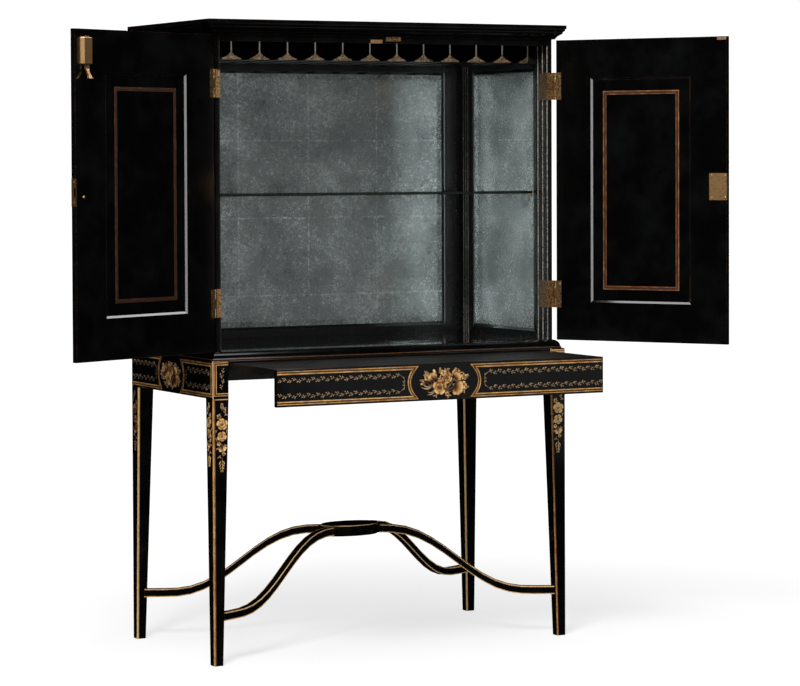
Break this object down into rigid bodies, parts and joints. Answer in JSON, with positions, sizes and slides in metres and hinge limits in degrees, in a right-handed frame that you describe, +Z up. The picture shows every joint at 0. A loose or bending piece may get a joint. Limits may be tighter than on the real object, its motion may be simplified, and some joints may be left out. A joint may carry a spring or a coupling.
{
  "type": "drinks cabinet",
  "caption": "Two-door drinks cabinet on a leg stand, with mirrored interior, glass shelf, stemware rack and a pull-out serving slide.",
  "frame": {"origin": "the middle of the part's box on the floor, with the doors and the slide open as stored", "axes": "+Z up; +Y towards the back of the cabinet; +X to the right when facing the doors' opening, along the wide side of the open part"},
  "size_m": [1.8518, 0.99, 1.74],
  "materials": {
    "black_lacquer": "glossy black lacquer on wood with painted gilt vines and borders, lightly rubbed",
    "interior_lacquer": "satin black lacquer on reeded and moulded wood",
    "aged_brass": "aged brass, softly tarnished",
    "bolt_steel": "brushed steel",
    "shelf_glass": "clear glass with a green edge",
    "antiqued_mirror": "antiqued mirror, softly mottled",
    "stained_beech": "dark stained wood, waxed"
  },
  "bodies": {
    "cabinet": {"apron_back": "black_lacquer", "apron_left": "black_lacquer", "apron_right": "black_lacquer", "back_mirror": "antiqued_mirror", "back_mirror_frame": "interior_lacquer", "back_panel": "black_lacquer", "ball_catch": "aged_brass", "bolt_keeper": "aged_brass", "carcass_floor": "black_lacquer", "cornice": "black_lacquer", "front_rail": "black_lacquer", "glass_shelf": "shelf_glass", "hinge_lower_left_carcass_leaf": "aged_brass", "hinge_lower_right_carcass_leaf": "aged_brass", "hinge_upper_left_carcass_leaf": "aged_brass", "hinge_upper_right_carcass_leaf": "aged_brass", "leg_back_left": "black_lacquer", "leg_back_right": "black_lacquer", "leg_front_left": "black_lacquer", "leg_front_right": "black_lacquer", "shelf_peg_back_left": "aged_brass", "shelf_peg_back_right": "aged_brass", "shelf_peg_front_left": "aged_brass", "shelf_peg_front_right": "aged_brass", "side_left": "black_lacquer", "side_lining_left": "interior_lacquer", "side_lining_right": "interior_lacquer", "side_mirror_left": "antiqued_mirror", "side_mirror_right": "antiqued_mirror", "side_right": "black_lacquer", "slide_runner_left": "stained_beech", "slide_runner_right": "stained_beech", "stemware_rack": "interior_lacquer", "stretcher_a": "black_lacquer", "stretcher_b": "black_lacquer", "stretcher_boss": "black_lacquer", "stretcher_platform": "black_lacquer", "top_panel": "black_lacquer", "top_rail": "black_lacquer", "waist_moulding": "black_lacquer"},
    "slide": {"slide_board": "black_lacquer", "slide_front": "black_lacquer"},
    "door_left": {"bolt_housing": "aged_brass", "door_frame_left": "black_lacquer", "door_panel_left": "black_lacquer", "hinge_lower_left_door_leaf": "aged_brass", "hinge_upper_left_door_leaf": "aged_brass", "pull_post_left": "aged_brass", "strike_plate": "aged_brass"},
    "door_right": {"catch_strike": "aged_brass", "door_frame_right": "black_lacquer", "door_panel_right": "black_lacquer", "hinge_lower_right_door_leaf": "aged_brass", "hinge_upper_right_door_leaf": "aged_brass", "lock_case": "aged_brass", "pull_post_right": "aged_brass"},
    "surface_bolt": {"bolt": "aged_brass"},
    "lock_slider": {"lock_bolt": "bolt_steel"},
    "drop_left": {"pull_drop_left": "aged_brass"},
    "drop_right": {"pull_drop_right": "aged_brass"}
  },
  "joints": [
    {"name": "door_left", "type": "hinge", "parent": "cabinet", "child": "door_left", "pos_m": [-0.4349, -0.04253, 1.27], "axis": [0, 0, -1], "range_deg": [-156.3, 23.7]},
    {"name": "door_right", "type": "hinge", "parent": "cabinet", "child": "door_right", "pos_m": [0.6311, -0.04253, 1.27], "axis": [0, 0, 1], "range_deg": [-122.5, 57.5]},
    {"name": "slide_out", "type": "slide", "parent": "cabinet", "child": "slide", "axis": [0, -1, 0], "range_m": [-0.29, 0]},
    {"name": "surface_bolt", "type": "slide", "parent": "door_left", "child": "surface_bolt", "axis": [0, 0, 1], "range_m": [0, 0.01]},
    {"name": "lock_bolt", "type": "slide", "parent": "door_right", "child": "lock_slider", "axis": [0.5373, -0.8434, 0], "range_m": [0, 0.01]},
    {"name": "drop_left", "type": "hinge", "parent": "door_left", "child": "drop_left", "pos_m": [-0.90393, -0.2257, 1.268], "axis": [0.9157, 0.4019, 0], "range_deg": [0, 80]},
    {"name": "drop_right", "type": "hinge", "parent": "door_right", "child": "drop_right", "pos_m": [0.91896, -0.45566, 1.268], "axis": [0.5373, -0.8434, 0], "range_deg": [0, 80]}
  ]
}
